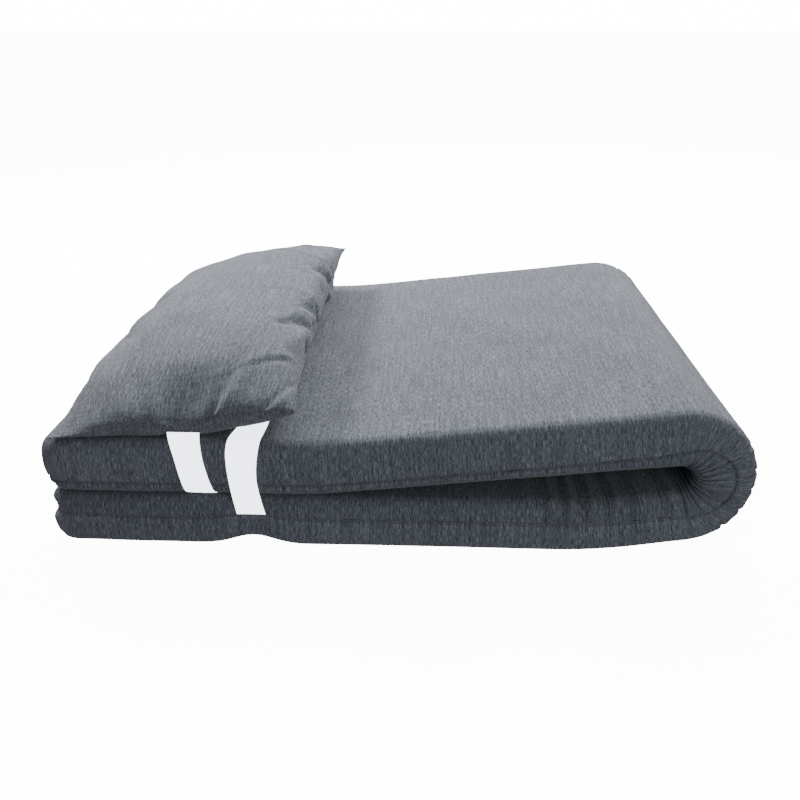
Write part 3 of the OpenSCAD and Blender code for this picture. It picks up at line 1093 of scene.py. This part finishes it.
        # Curved folds that run in from the right edge and from the corner above the strap
        edge = self.flat_width / 2 - u
        for place, lean, reach in ((0.16, 1.5, 0.11), (0.10, 1.3, 0.14), (0.02, 1.1, 0.12),
                                   (-0.07, 0.8, 0.10), (-0.17, 0.5, 0.09), (-0.27, 0.1, 0.09)):
            off = (v - place - lean * edge + 2.2 * edge ** 2) / math.hypot(1, lean)
            fold = 0.9 * hump(off, 12 * MM, 7 * MM) - hump(off, 0, 4 * MM)
            height += 2.4 * MM * fold * np.exp(-(edge / reach) ** 2) * smooth(edge / (45 * MM)) * top
        edge = self.flat_length / 2 + v
        for place, lean, size in ((0.052, 0.22, 8.0), (-0.020, -0.35, 4.0), (0.125, 0.75, 2.6)):
            off = u - place - lean * edge
            height += top * size * MM * (0.7 * hump(off, 16 * MM, 11 * MM) - hump(off, 0, 6 * MM)) * np.exp(
                -(edge / 0.09) ** 2) * smooth(edge / (10 * MM))
        height -= 1.6 * MM * np.exp(-((gap / (3.0 * MM)) ** 1.5))
        return height

    def build(self) -> None:
        """Makes the two cover panels, the seam's stitches and the filling."""
        bag = self.bag()
        self.blow_up(bag)
        finer = bag.modifiers.new("Finer", "SUBSURF")
        finer.levels = finer.render_levels = 1
        apply_modifiers(bag)
        mesh = bag.data
        points = np.array([v.co for v in mesh.vertices])
        quads = np.array([p.vertices[:] for p in mesh.polygons])
        below = np.array([p.material_index for p in mesh.polygons]) == 1
        loops = np.zeros(len(mesh.loops), np.int32)
        mesh.loops.foreach_get("vertex_index", loops)
        flat = np.zeros(len(mesh.loops) * 2, np.float32)
        mesh.uv_layers["UVMap"].data.foreach_get("uv", flat)
        uv = np.zeros((len(points), 2))
        uv[loops] = flat.reshape(-1, 2)
        bpy.data.objects.remove(bag)
        points = self.settle(points)
        normals = point_normals(points, quads)
        top = np.zeros(len(points))
        top[quads[~below].ravel()] = 1.0
        resting = smooth((points[:, 2] - self.low.z - 1 * MM) / (10 * MM))
        points = points + normals * (self.relief(uv, top) * resting)[:, None]
        points[:, 2] = np.maximum(points[:, 2], self.low.z + 0.2 * MM)
        normals = point_normals(points, quads)
        for name, part, node in (("pillow_cover_upper", ~below, "pillow_cover_top"),
                                 ("pillow_cover_lower", below, "pillow_cover_bottom")):
            used, faces = np.unique(quads[part], return_inverse=True)
            obj = fabric(name, points[used], normals[used], faces.reshape(-1, 4), uv[used],
                         self.cover, self.finishes.pillow_cloth)
            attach(obj, "pillow")
            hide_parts(node)
            LOG.info("%s: %d faces", name, len(faces) // 4)
        # The filling is the same bag, drawn in by the cover and a little air
        middle = (points.min(0) + points.max(0)) / 2
        drawn = middle + (points - normals * (self.cover + 2.5 * MM) - middle) * (0.95, 0.965, 1.0)
        inner = new_piece("pillow_filling", drawn, quads)
        inner.data.materials.append(self.finishes.fibre)
        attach(inner, "pillow")
        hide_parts("pillow_fill")
        self.sew(points, normals, quads, uv, below)

    def sew(self, points: Array, normals: Array, quads: Array, uv: Array, below: Array) -> None:
        """Sews a row of stitches beside the pillow's seam on its upper panel."""
        used = np.unique(quads[~below])
        nx, ny = 2 * round(self.flat_width / self.cell), 2 * round(self.flat_length / self.cell)
        tree = uv[used]

        def nearest(u: Array, v: Array) -> Array:
            """Point of the upper panel that lies nearest to each place on the flat cut."""
            return used[[int(np.argmin((tree[:, 0] - a) ** 2 + (tree[:, 1] - b) ** 2)) for a, b in zip(u, v)]]

        a = np.linspace(-1, 1, nx + 1)[1:-1]
        b = np.linspace(-1, 1, ny + 1)[1:-1]

        def edge_x(v: Array) -> Array:
            """How far out the stitches lie on the long edges."""
            return self.flat_width / 2 * (1 - self.waist_x * (1 - v ** 2)) - self.seam_allowance

        def edge_y(u: Array) -> Array:
            """How far out the stitches lie on the short edges."""
            return self.flat_length / 2 * (1 - self.waist_y * (1 - u ** 2)) - self.seam_allowance

        ring = [nearest(a * self.flat_width / 2, -edge_y(a)), nearest(edge_x(b), b * self.flat_length / 2),
                nearest(a[::-1] * self.flat_width / 2, edge_y(a[::-1])),
                nearest(-edge_x(b), b[::-1] * self.flat_length / 2)]
        loop = np.concatenate([*ring, ring[0][:1]])
        made, faces, _ = StitchRow().along(points[loop], normals[loop], np.zeros(len(loop)))
        obj = new_piece("pillow_stitches", made, faces)
        obj.data.materials.append(self.finishes.thread)
        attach(obj, "pillow")


# ---- Straps --------------------------------------------------------------------------


@dataclass
class ElasticStrap:
    """A flat elastic band that passes round the mattress from one side to the other."""

    name: str
    node: str
    body: str
    path: Sequence[tuple[float, float]]
    material: bpy.types.Material
    width: float
    lean: float = 0.0
    bow: float = 0.0
    offset: float = 0.0
    waist: float = 1.2 * MM
    thickness: float = 1.2 * MM
    columns: int = 14

    def build(self) -> bpy.types.Object:
        """Sweeps the band along its path, with slightly bowed edges and a crowned middle.

        Returns:
            The band, riding on its body.
        """
        low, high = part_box(self.node)
        centre = (low.x + high.x) / 2 + self.offset
        path = np.array(self.path, float)
        run = np.concatenate([[0], np.cumsum(np.hypot(*np.diff(path, axis=0).T))])
        at = np.linspace(0, run[-1], max(12, round(run[-1] / (3 * MM))))
        y, z = np.interp(at, run, path[:, 0]), np.interp(at, run, path[:, 1])
        kernel = np.array([1, 3, 5, 3, 1]) / 13
        for _ in range(3):
            y[2:-2], z[2:-2] = np.convolve(y, kernel, "valid"), np.convolve(z, kernel, "valid")
        dy, dz = np.gradient(y), np.gradient(z)
        size = np.maximum(np.hypot(dy, dz), 1e-9)
        ny, nz = dz / size, -dy / size
        across = np.linspace(-1, 1, self.columns + 1)
        side = np.clip((z - low.z) / (high.z - low.z), 0, 1)
        on_side = smooth((np.abs(y) - 0.29) / 0.055)
        shift = (self.lean * (0.5 - side) + self.bow * np.sin(math.pi * side)) * on_side
        half = self.width / 2 - (self.waist * np.sin(math.pi * side)
                                 - 2.0 * MM * smooth((side - 0.5) / 0.5)) * on_side
        X = centre + shift[:, None] + half[:, None] * across[None]
        sag = 0.5 * MM * (1 - across ** 2)[None] * on_side[:, None]
        wave = ripple(X, np.broadcast_to(at[:, None], X.shape), 0.013, 0.03, 31)
        wave = 0.35 * MM * wave * on_side[:, None]
        Y = y[:, None] + ny[:, None] * (sag + wave)
        Z = z[:, None] + nz[:, None] * (sag + wave)
        points = np.stack([X, Y, Z], -1).reshape(-1, 3)
        g = np.arange(points.shape[0]).reshape(X.shape)
        quads = np.stack([g[:-1, :-1], g[:-1, 1:], g[1:, 1:], g[1:, :-1]], -1).reshape(-1, 4)
        normals = point_normals(points, quads)
        outward = np.stack([np.zeros(X.shape), np.broadcast_to(ny[:, None], X.shape),
                            np.broadcast_to(nz[:, None], X.shape)], -1).reshape(-1, 3)
        if (normals * outward).sum() < 0:
            quads, normals = quads[:, ::-1], -normals
        uv = np.stack([X - centre, np.broadcast_to(at[:, None], X.shape)], -1).reshape(-1, 2)
        obj = fabric(self.name, points + normals * self.thickness / 2, normals, quads, uv,
                     self.thickness, self.material)
        # The stand-in light of the elastic stays off the fabric beside it
        obj.visible_diffuse = False
        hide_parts(self.node)
        LOG.info("%s: %.0f mm long", self.name, run[-1] * 1000)
        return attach(obj, self.body)


class Straps:
    """The pillow's strap and the strap that holds the folded bundle."""

    def __init__(self, form: FoldedForm, material: bpy.types.Material) -> None:
        """Takes the folded form and the elastic."""
        self.form, self.material, self.sleeve = form, material, Sleeve(form)

    def side(self, low_depth: float, high_depth: float, upper: bool,
             clear: float) -> list[tuple[float, float]]:
        """The side of one layer at a strap, as (out from the middle, height), from the outer face inwards.

        Args:
            low_depth: Depth from the layer's outer face where it starts.
            high_depth: Depth where it ends.
            upper: Whether it is the upper layer.
            clear: How far the strap's middle stands off the fabric.
        Returns:
            Points down or up the side.
        """
        sl, t = self.sleeve, self.form.thickness
        p = np.linspace(sl.profile_at(low_depth), sl.profile_at(high_depth), 26)
        out, depth = sl.girth(p)
        first = np.minimum(p / sl.outer_edge, math.pi / 2)
        last = np.clip((p - sl.total() + sl.inner_edge * math.pi / 2) / sl.inner_edge, 0, math.pi / 2)
        ny, nd = np.sin(first) * np.cos(last), -np.cos(first) + np.sin(last)
        crown = sl.side_bulge * 4 * depth / t * (1 - depth / t) - 1.6 * MM
        y = self.form.half_width - sl.outer_edge + out + crown + ny * clear
        depth = depth + nd * clear
        z = self.form.top - depth if upper else depth
        return list(zip(y.tolist(), z.tolist()))

    def mirrored(self, half: list[tuple[float, float]]) -> list[tuple[float, float]]:
        """Joins a front half, given from its free end to the middle, to its mirror image."""
        return [(-y, z) for y, z in half] + [(y, z) for y, z in half[::-1]]

    def build(self) -> None:
        """Makes both straps."""
        t = self.form.thickness
        low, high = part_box("pillow_strap")
        down = [(0.346, high.z - 10 * MM), (0.3508, high.z - 17 * MM)]
        tucked = (0.30, self.form.top - t - 1.2 * MM)
        pillow = down + self.side(20 * MM, t - 0.1 * MM, True, 1.3 * MM) + [tucked]
        ElasticStrap("pillow_elastic", "pillow_strap", "pillow", self.mirrored(pillow), self.material,
                     high.x - low.x, lean=16 * MM, bow=-2 * MM).build()
        low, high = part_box("bundle_strap")
        up = self.side(22 * MM, 64 * MM, False, 1.4 * MM)
        up = [(y, z) for y, z in up if z > 55 * MM]
        over = self.side(0.0, 64 * MM, True, 1.4 * MM)[::-1]
        bundle = up + over + [(0.30, self.form.top + 0.9 * MM)]
        strap = ElasticStrap("bundle_elastic", "bundle_strap", "lower", self.mirrored(bundle),
                             self.material, high.x - low.x, lean=8 * MM, bow=-6 * MM,
                             offset=-7 * MM).build()
        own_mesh(strap)


# ---- Zip -----------------------------------------------------------------------------


@dataclass
class Zip:
    """Coil zip across the free end of the lower half, which opens the cover."""

    finishes: Finishes
    pitch: float = 2.2 * MM

    def build(self) -> None:
        """Winds the two coils and gives the tapes, stops, slider and pull their finishes."""
        low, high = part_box("zip_teeth")
        middle = (low.z + high.z) / 2
        count = int((high.y - low.y - 2 * MM) / self.pitch)
        turn = np.linspace(0, 2 * math.pi, 11)
        pieces, faces, start = [], [], 0
        sides = np.linspace(0, 2 * math.pi, 5, endpoint=False)
        for hand in (-1, 1):
            for k in range(count):
                y = low.y + 1 * MM + (k + (0.5 if hand > 0 else 0)) * self.pitch
                z = middle + hand * (1.35 * MM) + 1.55 * MM * np.cos(turn)
                x = (low.x + high.x) / 2 + 0.72 * MM * np.sin(turn)
                line = np.stack([x, y + self.pitch * 0.5 * np.linspace(0, 1, len(turn)), z], -1)
                ahead = np.gradient(line, axis=0)
                ahead /= np.linalg.norm(ahead, axis=1)[:, None]
                aside = np.cross(ahead, [0, 1.0, 0])
                aside /= np.linalg.norm(aside, axis=1)[:, None]
                up = np.cross(aside, ahead)
                ring = line[:, None] + 0.36 * MM * (np.cos(sides)[:, None] * aside[:, None]
                                                    + np.sin(sides)[:, None] * up[:, None])
                ids = start + np.arange(len(line) * 5).reshape(len(line), 5)
                nxt = np.roll(ids, -1, axis=1)
                faces += np.stack([ids[:-1], ids[1:], nxt[1:], nxt[:-1]], -1).reshape(-1, 4).tolist()
                faces += [ids[0].tolist(), ids[-1][::-1].tolist()]
                pieces.append(ring.reshape(-1, 3))
                start += len(line) * 5
        coil = new_piece("zip_coil", np.concatenate(pieces), faces)
        coil.data.materials.append(self.finishes.nylon)
        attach(coil, "lower")
        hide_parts("zip_teeth")
        for node, finish in (("zip_tape_upper", self.finishes.tape), ("zip_tape_lower", self.finishes.tape),
                             ("zip_stops", self.finishes.nickel), ("zip_slider", self.finishes.nickel),
                             ("zip_pull", self.finishes.nickel)):
            mesh = frame["nodes"][node].data
            mesh.materials.clear()
            mesh.materials.append(finish)
        LOG.info("zip_coil: %d turns", 2 * count)


# ---- Stage ---------------------------------------------------------------------------


@dataclass
class Studio:
    """Plain pale floor, soft lights and the camera."""

    camera_at: tuple[float, float, float] = (0.044, -1.276, 0.665)
    pitch: float = 25.3
    yaw: float = 2.16
    lens: float = 37.08

    def build(self) -> None:
        """Makes the floor, the lights and the camera."""
        deselect()
        bpy.ops.mesh.primitive_plane_add(size=60, location=(0, 0, 0))
        floor = bpy.context.active_object
        floor.name = "floor"
        g = Graph("Matt white studio floor")
        g.shader.inputs["Emission Color"].default_value = (1, 1, 1, 1)
        floor.data.materials.append(g.finish(linear("#fbfbfb"), None, 0.0, Roughness=1.0,
                                             Specular_IOR_Level=0.0, Emission_Strength=13.0))
        floor.visible_diffuse = floor.visible_glossy = False
        world = bpy.data.worlds.new("studio")
        bpy.context.scene.world = world
        world.use_nodes = True
        tree = world.node_tree
        tree.nodes.clear()
        out = tree.nodes.new("ShaderNodeOutputWorld")
        seen, fill, mixed, path = (tree.nodes.new(f"ShaderNode{k}") for k in
                                   ("Background", "Background", "MixShader", "LightPath"))
        seen.inputs["Color"].default_value = (1, 1, 1, 1)
        seen.inputs["Strength"].default_value = 16.0
        fill.inputs["Color"].default_value = (0.93, 0.95, 1.0, 1)
        fill.inputs["Strength"].default_value = 0.25
        tree.links.new(path.outputs["Is Camera Ray"], mixed.inputs[0])
        tree.links.new(fill.outputs[0], mixed.inputs[1])
        tree.links.new(seen.outputs[0], mixed.inputs[2])
        tree.links.new(mixed.outputs[0], out.inputs[0])
        self.light("key", at=(1.2, 2.1, 2.3), to=(0.1, 0.1, 0.1), size=1.7, power=122)
        self.light("top", at=(-0.5, 1.5, 2.2), to=(0, 0, 0), size=2.0, power=38)
        self.light("left", at=(-1.6, 1.3, 1.6), to=(0, 0, 0.1), size=0.5, power=62)
        self.light("front", at=(0.9, -2.2, 0.75), to=(0.3, 0, 0.1), size=1.4, power=14)
        data = bpy.data.cameras.new("camera")
        data.lens, data.sensor_width = self.lens, 36.0
        cam = bpy.data.objects.new("camera", data)
        bpy.context.scene.collection.objects.link(cam)
        cam.location = self.camera_at
        cam.rotation_euler = (math.radians(90 - self.pitch), 0, math.radians(self.yaw))
        bpy.context.scene.camera = cam

    def light(self, name: str, at: tuple[float, float, float], to: tuple[float, float, float],
              size: float, power: float) -> None:
        """Adds a square soft box that faces a point."""
        data = bpy.data.lights.new(name, "AREA")
        data.size, data.energy = size, power
        obj = bpy.data.objects.new(name, data)
        bpy.context.scene.collection.objects.link(obj)
        obj.location = at
        obj.rotation_euler = (Vector(to) - Vector(at)).to_track_quat("-Z", "Y").to_euler()


def main() -> None:
    """Builds the mattress, the pillow, the straps and the zip, and dresses them."""
    logging.basicConfig(level=logging.INFO, format="%(message)s")
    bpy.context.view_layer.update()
    finishes = Finishes()
    Studio().build()
    form = FoldedForm()
    FoamCore(form).build(finishes.foam)
    CoverPanel(form, Side.OUTER, finishes.thread).build(finishes.cover_outer, 1.2 * MM)
    CoverPanel(form, Side.INNER, finishes.thread).build(finishes.cover_inner, 1.2 * MM)
    Pillow(finishes).build()
    Straps(form, finishes.elastic).build()
    Zip(finishes).build()


if __name__ == "__main__":
    main()
